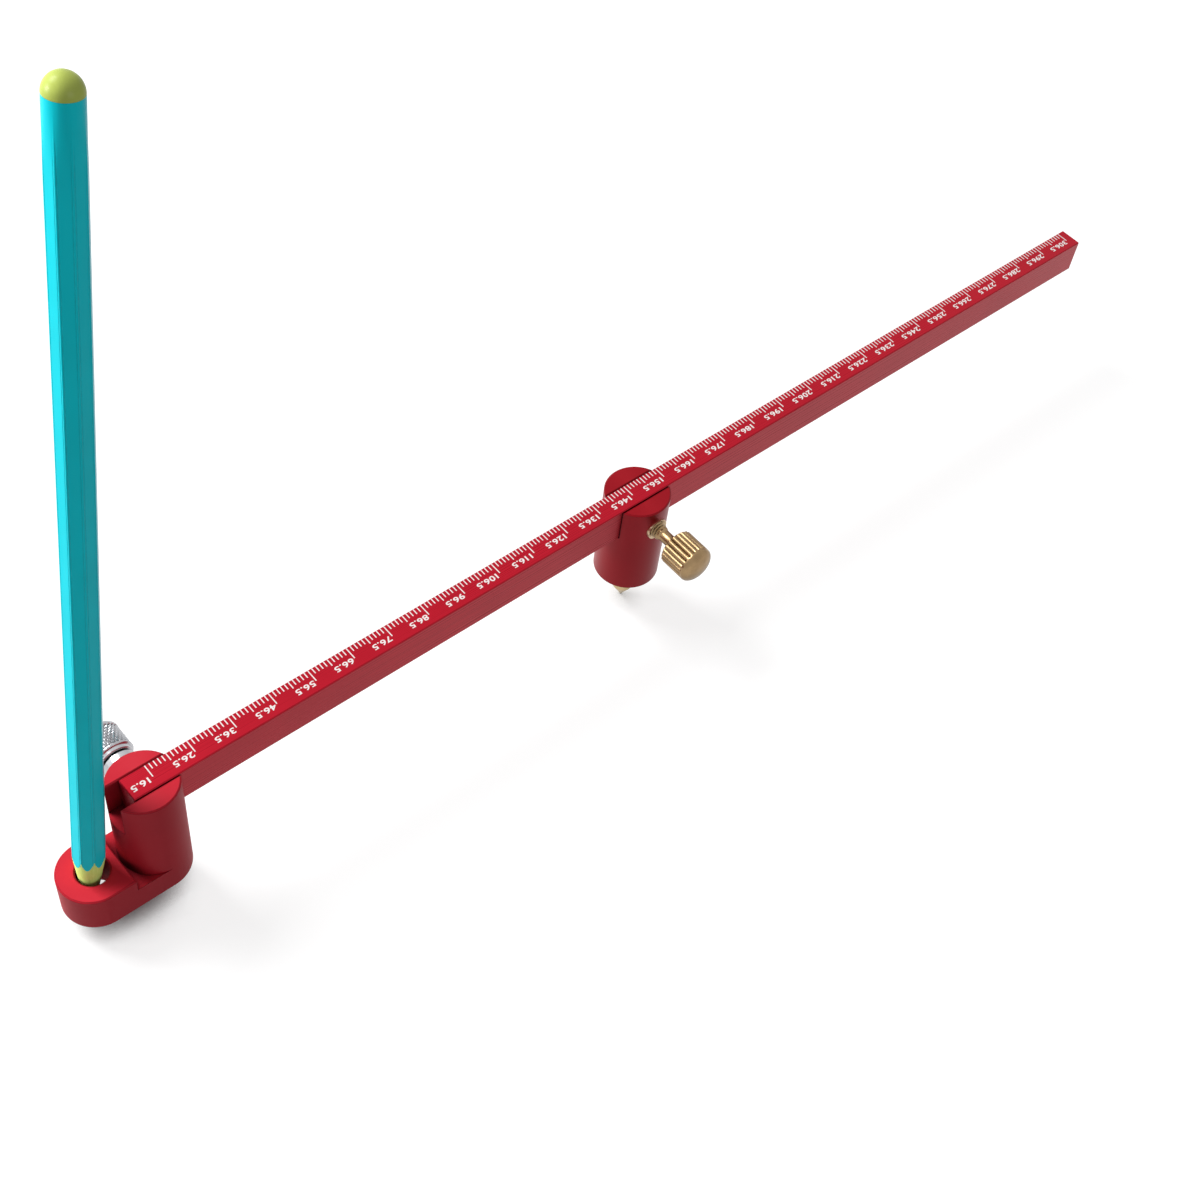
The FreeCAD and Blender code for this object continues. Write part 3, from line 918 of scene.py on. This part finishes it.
@dataclass
class ClampScrew:
    """A clamp screw turned from one bar: a nose, a thread, a neck, and a knurled head with a rounded end."""

    node: str
    body: str
    piece: str
    slot: str
    finish: TurnedMetal
    at: Point
    outward: int
    thread_end: float
    head_start: float
    head_entry: tuple[HeadRing, ...]
    head_exit: tuple[HeadRing, ...]
    knurl_from: float
    knurl_to: float
    knurl_rings: int
    flutes: int
    flute_depth: float
    head_length: float = 9.3
    head_radius: float = 4.6
    dome: float = 2.2
    dome_turns: tuple[float, float, int] = (4.0, 88.0, 16)
    nose_radius: float = 1.0
    nose_end: float = 3.6
    nose_edge: float = 0.12
    shoulder: float = 4.5
    thread_radius: float = 2.0
    lead_in: float = 0.3
    thread_pitch: float = 0.7
    thread_depth: float = 0.36
    rings_per_pitch: int = 10
    segments: int = 360
    crease_degrees: float = 38.0

    def shank(self) -> list[Station]:
        """Draws the nose and the thread.

        Returns:
            The rings from the nose to the neck.
        """
        root = self.thread_radius - self.lead_in
        first, last = self.shoulder + self.lead_in, self.thread_end - self.lead_in
        count = round((last - first) / self.thread_pitch * self.rings_per_pitch)
        return [
            Station(self.nose_end, self.nose_radius - self.nose_edge),
            Station(self.nose_end + self.nose_edge, self.nose_radius),
            Station(self.shoulder, self.nose_radius), Station(self.shoulder, root),
            *(Station(along, self.thread_radius, self.thread_depth) for along in steps(first, last, count)),
            Station(self.thread_end, root)]

    def neck(self) -> list[Station]:
        """Returns the rings between the thread and the head."""
        raise NotImplementedError

    def head(self) -> list[Station]:
        """Draws the knurled head and its rounded end, a quarter of an ellipse.

        Returns:
            The rings from the neck to the tip.
        """
        end = self.head_start + self.head_length
        rim = end - self.dome
        size = self.head_radius, self.flute_depth
        rings = [ring.station(self.head_start, *size) for ring in self.head_entry]
        for along in steps(self.head_start + self.knurl_from, rim - self.knurl_to, self.knurl_rings):
            rings.append(Station(along, *size))
        rings += [ring.station(rim, *size) for ring in self.head_exit]
        for turn in steps(*self.dome_turns):
            angle = math.radians(turn)
            rings.append(Station(end - self.dome * (1 - math.sin(angle)), self.head_radius * math.cos(angle)))
        return rings

    def knurl(self, turn: float, along: float) -> float:
        """Returns the knurl's depth, 0 on a ridge and 1 in a groove, at a turn counted in flutes."""
        raise NotImplementedError

    def cut(self, angle: float, along: float) -> float:
        """Finds the depth of the cut at a point, on the thread or on the head.

        Args:
            angle: The direction, in radians.
            along: The distance along the axis.

        Returns:
            The depth, 0 on a crest and 1 in a root.
        """
        if along < self.thread_end:
            return triangle(along / self.thread_pitch - angle / math.tau)
        return self.knurl(self.flutes * angle / math.tau, along)

    def build(self) -> bpy.types.Object:
        """Turns the screw, stands it in its hole and puts it in the place of the plain solid.

        Returns:
            The screw's piece.
        """
        points, faces = revolve(self.shank() + self.neck() + self.head(), self.segments, self.cut)
        screw = new_piece(self.piece, points, faces, self.finish, self.crease_degrees)
        tilt = Matrix.Rotation(-self.outward * math.pi / 2, 4, "X")
        screw.matrix_world = Matrix.Translation([MM * at for at in self.at]) @ tilt
        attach(screw, self.body)
        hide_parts(self.node)
        return screw


@dataclass
class SliderScrew(ClampScrew):
    """The slider's brass screw, with a thin neck and a straight-fluted head."""

    node: str = "slider_clamp_screw"
    body: str = "slider_screw"
    piece: str = "slider_screw_turned"
    slot: str = "screw_brass"
    finish: TurnedMetal = BRASS
    at: Point = (SLIDER_X, 0.0, SLIDER_SCREW_Z)
    outward: int = -1
    thread_end: float = 10.0
    head_start: float = 14.3
    head_entry: tuple[HeadRing, ...] = (HeadRing(0.0, 0.67), HeadRing(0.08, 0.47), HeadRing(0.4, cut=1.0))
    head_exit: tuple[HeadRing, ...] = (HeadRing(-0.3, cut=0.55), HeadRing(-0.12))
    knurl_from: float = 0.5
    knurl_to: float = 0.55
    knurl_rings: int = 8
    flutes: int = 20
    flute_depth: float = 0.42
    flute_sharpness: float = 2.2
    neck_radius: float = 1.5
    neck_gap: float = 0.05
    neck_flare: float = 0.6
    flare_rings: int = 8
    foot_run: float = 0.2
    foot_rise: float = 0.15

    def neck(self) -> list[Station]:
        """Draws the thin neck, which flares towards the thread.

        Returns:
            The rings from the thread to the head.
        """
        flare = self.thread_radius - self.lead_in - self.neck_radius
        rings = []
        for share in steps(0.0, 1.0, self.flare_rings):
            along = self.thread_end + self.neck_gap + self.neck_flare * share
            rings.append(Station(along, self.neck_radius + flare * (1 - share) ** 2))
        return [*rings, Station(self.head_start - self.foot_run, self.neck_radius),
                Station(self.head_start, self.neck_radius + self.foot_rise)]

    def knurl(self, turn: float, along: float) -> float:
        """Returns the depth of the straight flutes."""
        return triangle(turn) ** self.flute_sharpness


@dataclass
class FootScrew(ClampScrew):
    """The foot's steel screw, with a collar, a polished ring and a diamond-knurled head."""

    node: str = "foot_clamp_screw"
    body: str = "foot_screw"
    piece: str = "foot_screw_turned"
    slot: str = "screw_steel"
    finish: TurnedMetal = STEEL
    at: Point = (TOWER_X, 0.0, FOOT_SCREW_Z)
    outward: int = 1
    thread_end: float = 8.15
    head_start: float = 10.55
    head_entry: tuple[HeadRing, ...] = (
        HeadRing(0.12, 0.75), HeadRing(0.25, 0.6), HeadRing(0.9, 0.48), HeadRing(1.0, 0.3),
        HeadRing(1.14, 0.06), HeadRing(1.24), HeadRing(1.5), HeadRing(1.62, cut=0.6))
    head_exit: tuple[HeadRing, ...] = (HeadRing(-0.25, cut=0.5), HeadRing(-0.1))
    knurl_from: float = 1.7
    knurl_to: float = 0.35
    knurl_rings: int = 52
    knurl_row: float = 1.35
    flutes: int = 30
    flute_depth: float = 0.4
    collar_radius: float = 3.8
    collar_end: float = 10.15
    collar_front: float = 0.25
    collar_back: float = 0.2
    groove_radius: float = 3.2
    step: float = 0.01

    def neck(self) -> list[Station]:
        """Draws the collar, with broken edges, and the groove behind it.

        Returns:
            The rings from the thread to the head.
        """
        collar, start = self.collar_radius, self.thread_end + self.step
        return [
            Station(start, collar - self.collar_front), Station(start + self.collar_front, collar),
            Station(self.collar_end - self.collar_back, collar),
            Station(self.collar_end, collar - self.collar_back),
            Station(self.collar_end + self.step, self.groove_radius),
            Station(self.head_start, self.groove_radius)]

    def knurl(self, turn: float, along: float) -> float:
        """Returns the depth of the crossed rows."""
        row = along / self.knurl_row
        return max(triangle(turn + row), triangle(turn - row))


@dataclass
class Pencil:
    """An eight-sided pencil: lacquer over turned wood, sharpened, with a rounded blunt end."""

    across_flats: float = 6.6
    length: float = 196.5
    sides: int = 8
    turn: float = 10.7
    taper: float = 8.35
    lead_radius: float = 1.1
    lacquer: float = 0.06
    corner: float = 0.28
    bare_end: float = 3.45
    round_run: float = 14.0
    round_radius: float = 3.34
    lean: float = 11.0
    azimuth: float = 29.6
    shift: tuple[float, float] = (-0.40, 0.46)
    foot_top: float = 18.0
    lead_tip: float = 0.15
    columns: int = 20
    corner_crowd: float = 0.55
    scallop: float = 1.35
    ragged: float = 0.3
    ragged_scale: float = 2.2
    seed: Point = (3.1, 7.7, 1.9)
    lip_rise: float = 0.02
    lip_edge: float = 0.03
    sleeve_rows: tuple[float, ...] = (27.0, 30.0, 40.0, 80.0, 130.0)
    sleeve_run_rings: int = 12
    cone_rings: int = 10
    above_cone: float = 2.0
    wood_run_share: float = 0.9
    wood_run_rings: int = 9
    dip_inset: float = 0.01
    dip_turns: tuple[float, float, int] = (0.0, 88.0, 14)
    crease_degrees: float = 25.0

    def placement(self) -> Matrix:
        """Leans the pencil in its hole.

        Returns:
            The matrix from the pencil's own frame, tip down on its axis, to the part's frame.
        """
        azimuth, lean = math.radians(self.azimuth), math.radians(self.lean)
        run = self.foot_top * math.tan(lean)
        foot = Vector((
            self.shift[0] - run * math.cos(azimuth), self.shift[1] - run * math.sin(azimuth),
            self.lead_tip * math.sin(lean))) * MM
        across = Vector((-math.sin(azimuth), math.cos(azimuth), 0.0))
        return Matrix.Translation(foot) @ Matrix.Rotation(lean, 4, across)

    def reach(self, angle: float, inset: float = 0.0) -> float:
        """Returns the distance from the axis to the faceted skin, with its corners slightly rounded.

        Args:
            angle: The direction, in radians.
            inset: How far inside the outer skin.

        Returns:
            The distance in millimetres.
        """
        half = math.pi / self.sides
        off = (angle - math.radians(self.turn) + half) % (2 * half) - half
        apothem = self.across_flats / 2 - inset
        flat = apothem / math.cos(off)
        middle = (apothem - self.corner) / math.cos(half)
        away = half - abs(off)
        bend = middle * math.sin(away)
        if abs(bend) >= self.corner:
            return flat
        return min(flat, middle * math.cos(away) + math.sqrt(self.corner ** 2 - bend ** 2))

    def angles(self) -> list[float]:
        """Spaces the columns of points round the pencil, closer together at the corners.

        Returns:
            The direction of each column, in radians.
        """
        half = math.pi / self.sides
        found = []
        for side in range(self.sides):
            middle = math.radians(self.turn) + 2 * half * side
            for step in range(self.columns):
                share = 2 * step / self.columns - 1
                found.append(middle + half * math.copysign(abs(share) ** self.corner_crowd, share))
        return found

    def worn_round(self, reach: float, z: float) -> float:
        """Finds the skin at a height: the facets run out into a round near the blunt end.

        Args:
            reach: The distance to the faceted skin.
            z: The height from the tip.

        Returns:
            The distance in millimetres.
        """
        share = min(max((z - (self.length - self.bare_end - self.round_run)) / self.round_run, 0.0), 1.0)
        return reach + (self.round_radius - reach) * share * share * (3 - 2 * share)

    def lower_edge(self, angle: float, reach: float) -> float:
        """Finds where the lacquer ends above the tip: where the cone leaves the skin, slightly ragged.

        Args:
            angle: The direction, in radians.
            reach: The distance to the faceted skin.

        Returns:
            The height from the tip.
        """
        ragged = noise.noise(Vector(around(angle, self.ragged_scale, 0.0)) + Vector(self.seed))
        corner = self.across_flats / 2 / math.cos(math.pi / self.sides)
        below = (corner - reach) * (self.scallop - 1)
        return (reach - below) / math.tan(math.radians(self.taper)) + self.ragged * ragged

    def skin(self) -> bpy.types.Object:
        """Makes the lacquer as a thin closed sleeve with a scalloped lower edge.

        Returns:
            The sleeve's piece.
        """
        angles = self.angles()
        end = self.length - self.bare_end
        heights: list[float | None] = [
            None, *self.sleeve_rows, *steps(end - self.round_run, end, self.sleeve_run_rings)]
        last = len(heights) - 1
        points: list[Point] = []
        for rise, inset, edge in ((0.0, 0.0, self.lip_edge), (self.lip_rise, self.lacquer, 0.0)):
            for row, height in enumerate(heights):
                broken = edge if row in (0, last) else 0.0
                for angle in angles:
                    reach = self.reach(angle)
                    z = self.lower_edge(angle, reach) + rise if height is None else height
                    points.append(around(angle, self.worn_round(reach, z) - inset - broken, z))
        count = len(angles)
        inside, top = (last + 1) * count, last * count
        faces = []
        for low in range(0, top, count):
            high = low + count
            faces += band(low, high, count) + band(inside + high, inside + low, count)
        faces += band(inside, 0, count) + band(top, inside + top, count)
        return new_piece("pencil_lacquer", points, faces, TURQUOISE, self.crease_degrees)

    def wood_rows(self, angles: Sequence[float]) -> list[list[Point]]:
        """Draws the wood's rings under the lacquer: the cut cone, then the faceted shaft.

        Args:
            angles: The direction of each column.

        Returns:
            The rings from the lead to the dipped end.
        """
        slope = math.tan(math.radians(self.taper))
        cone_low, cone_high = self.lead_radius / slope, self.reach(0.0) / slope
        rows: list[list[Point]] = []
        for share in steps(0.0, 1.0, self.cone_rings):
            tops = [self.reach(angle, self.lacquer) / slope for angle in angles]
            heights = [cone_low + (top - cone_low) * share for top in tops]
            rows.append([around(angle, z * slope, z) for angle, z in zip(angles, heights)])
        end = self.length - self.bare_end
        run_out = steps(end - self.wood_run_share * self.round_run, end, self.wood_run_rings)
        for z in (cone_high + self.above_cone, end - self.round_run, *run_out):
            rows.append([
                around(angle, self.worn_round(self.reach(angle), z) - self.lacquer, z) for angle in angles])
        return rows

    def core(self) -> bpy.types.Object:
        """Makes the wood: a cone, a faceted shaft under the lacquer, and a rounded, dipped end.

        Returns:
            The wood's piece.
        """
        angles = self.angles()
        count = len(angles)
        rows = self.wood_rows(angles)
        dip_start = (len(rows) - 1) * count
        ball = self.round_radius - self.dip_inset
        for turn in steps(*self.dip_turns):
            rise = math.radians(turn)
            z = self.length - ball + ball * math.sin(rise)
            rows.append([around(angle, ball * math.cos(rise), z) for angle in angles])
        points = [point for row in rows for point in row]
        top = len(points) - count
        faces = []
        for low in range(0, top, count):
            faces += band(low, low + count, count)
        faces += [list(reversed(range(count))), list(range(top, len(points)))]
        wood = new_piece("pencil_wood", points, faces, WOOD, self.crease_degrees)
        wood.data.materials.append(END_DIP.material())
        for face in wood.data.polygons:
            face.material_index = int(min(face.vertices) >= dip_start)
        return wood

    def build(self) -> list[bpy.types.Object]:
        """Makes the pencil and lays it on its leaning axis.

        Returns:
            The new pieces.
        """
        dress("pencil_lead", LEAD)
        pieces = [self.skin(), self.core()]
        for piece in pieces:
            piece.matrix_world = self.placement()
            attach(piece, "pencil")
        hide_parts("pencil_casing")
        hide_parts("pencil_casing")
        return pieces


@dataclass
class MachinedBodies:
    """The foot, the slider and the small turned parts that keep their solids and get a finish."""

    finishes: dict[str, Finish] = field(default_factory=lambda: {
        "pencil_foot": TOWER_RED,
        "foot_thread_bush": BUSH_BRASS,
        "foot_clamp_pad": NYLON,
        "slider_block": SLIDER_RED,
        "slider_thread_bush": BUSH_BRASS,
        "slider_clamp_pad": NYLON,
        "centre_point": POINT_BRASS,
    })

    def build(self) -> None:
        """Dresses each node."""
        for node, finish in self.finishes.items():
            dress(node, finish)


@dataclass(frozen=True)
class Lamp:
    """A square soft lamp: where it hangs, the point it faces, its side, and its power in watts."""

    name: str
    at: Point
    towards: Point
    side: float
    power: float
    pencil_only: bool = False

    def hang(self, pencil: Sequence[bpy.types.Object]) -> None:
        """Hangs the lamp.

        Args:
            pencil: The pencil's pieces, which some lamps light alone.
        """
        light = bpy.data.lights.new(self.name, "AREA")
        light.shape = "SQUARE"
        light.size = self.side * MM
        light.energy = self.power
        holder = bpy.data.objects.new(self.name, light)
        holder.location = [MM * at for at in self.at]
        holder.rotation_mode = "QUATERNION"
        holder.rotation_quaternion = (Vector(self.towards) - Vector(self.at)).to_track_quat("-Z", "Y")
        bpy.context.scene.collection.objects.link(holder)
        if self.pencil_only:
            lit = bpy.data.collections.new(self.name)
            for piece in pencil:
                lit.objects.link(piece)
            holder.light_linking.receiver_collection = lit


@dataclass
class Studio:
    """A white sweep, soft lamps and the camera."""

    floor_drop: float = 0.05
    floor_half: float = 3000.0
    floor_lit: float = 0.4
    floor_glow: float = 0.8
    floor_thrown: float = 0.22
    # Reach and openness of the painted shadow that fades the floor's glow under the pieces.
    contact_reach: float = 20.0
    contact_deep: float = 0.4
    contact_free: float = 0.7
    surround: float = 0.22
    camera_at: Point = (-69.36, -192.37, 359.32)
    heading: float = 42.391
    tilt: float = 51.358
    roll: float = 8.953
    focal: float = 54.8805
    sensor: float = 36.0
    clip: tuple[float, float] = (0.01, 20.0)
    lamps: tuple[Lamp, ...] = (
        Lamp("overhead", (-260.0, 730.0, 1010.0), (90.0, 0.0, 20.0), 540.0, 16.0),
        Lamp("left_side", (-700.0, 360.0, 380.0), (40.0, 0.0, 40.0), 380.0, 0.35),
        Lamp("pencil_side", (-650.0, 500.0, 420.0), (10.0, 5.0, 100.0), 300.0, 8.6, pencil_only=True),
        Lamp("pencil_front", (150.0, -740.0, 400.0), (10.0, 5.0, 100.0), 300.0, 1.5, pencil_only=True),
    )

    def floor(self) -> None:
        """Lays the floor: white to the eye and in reflections, mid grey for the light that it throws back,
        with a painted shadow where the pieces stand close above it.
        """
        half, level = self.floor_half * MM, -self.floor_drop * MM
        corners = [(-half, -half, level), (half, -half, level), (half, half, level), (-half, half, level)]
        mesh = bpy.data.meshes.new("floor")
        mesh.from_pydata(corners, [], [[0, 1, 2, 3]])
        made = bpy.data.materials.new("floor_white")
        made.use_nodes = True
        wiring = Wiring(made.node_tree)
        nodes = made.node_tree.nodes
        nodes.remove(nodes["Principled BSDF"])
        # Painted shadow: the glow fades by ambient occlusion where the pieces stand close above the floor.
        above = wiring.add("ShaderNodeAmbientOcclusion", {"Distance": self.contact_reach * MM}, samples=16)
        free = wiring.ramp(above.outputs["AO"], self.contact_deep, self.contact_free)
        lit = wiring.add("ShaderNodeBsdfDiffuse", {"Color": grey(self.floor_lit)})
        glow = wiring.add("ShaderNodeEmission", {
            "Color": grey(1.0), "Strength": wiring.math("MULTIPLY", free, self.floor_glow)})
        white = wiring.add("ShaderNodeAddShader", {0: lit.outputs[0], 1: glow.outputs[0]})
        thrown = wiring.add("ShaderNodeBsdfDiffuse", {"Color": grey(self.floor_thrown)})
        mixed = wiring.add("ShaderNodeMixShader", {
            0: wiring.looked_at(), 1: thrown.outputs[0], 2: white.outputs[0]})
        wiring.feed(nodes["Material Output"], {"Surface": mixed.outputs[0]})
        mesh.materials.append(made)
        floor = bpy.data.objects.new("floor", mesh)
        bpy.context.scene.collection.objects.link(floor)

    def world(self) -> None:
        """Sets a white surround for the eye and for reflections, and a dimmer one for light."""
        world = bpy.data.worlds.new("surround")
        world.use_nodes = True
        wiring = Wiring(world.node_tree)
        wiring.feed(world.node_tree.nodes["Background"], {
            "Color": grey(1.0), "Strength": wiring.ramp(wiring.looked_at(), 0.0, 1.0, self.surround, 1.0)})
        bpy.context.scene.world = world

    def camera(self) -> None:
        """Stands the camera on its heading, tilt and roll."""
        heading, tilt, roll = (math.radians(turn) for turn in (self.heading, self.tilt, self.roll))
        forward = Vector((
            math.cos(heading) * math.cos(tilt), math.sin(heading) * math.cos(tilt), -math.sin(tilt)))
        level = Vector((math.sin(heading), -math.cos(heading), 0.0))
        upright = level.cross(forward)
        right = level * math.cos(roll) + upright * math.sin(roll)
        up = upright * math.cos(roll) - level * math.sin(roll)
        data = bpy.data.cameras.new("view")
        data.lens = self.focal
        data.sensor_width = self.sensor
        data.clip_start, data.clip_end = self.clip
        view = bpy.data.objects.new("view", data)
        turned = Matrix((right, up, -forward)).transposed().to_4x4()
        view.matrix_world = Matrix.Translation([MM * at for at in self.camera_at]) @ turned
        bpy.context.scene.collection.objects.link(view)
        bpy.context.scene.camera = view

    def build(self, pencil: Sequence[bpy.types.Object]) -> None:
        """Sets the whole studio.

        Args:
            pencil: The pencil's pieces, which stand far above the rest and have lamps of their own.
        """
        self.floor()
        self.world()
        for lamp in self.lamps:
            lamp.hang(pencil)
        self.camera()
        bpy.context.scene.view_settings.view_transform = "Standard"


def main() -> None:
    """Builds every sub-assembly in order and reports its pieces."""
    logging.basicConfig(level=logging.INFO, format="%(name)s: %(message)s")
    made = ScaledBar().build()
    MachinedBodies().build()
    made += [SliderScrew().build(), FootScrew().build()]
    pencil = Pencil().build()
    made += pencil
    Studio().build(pencil)
    for piece in made:
        LOG.info("made %s with %d faces", piece.name, len(piece.data.polygons))


if __name__ == "__main__":
    main()
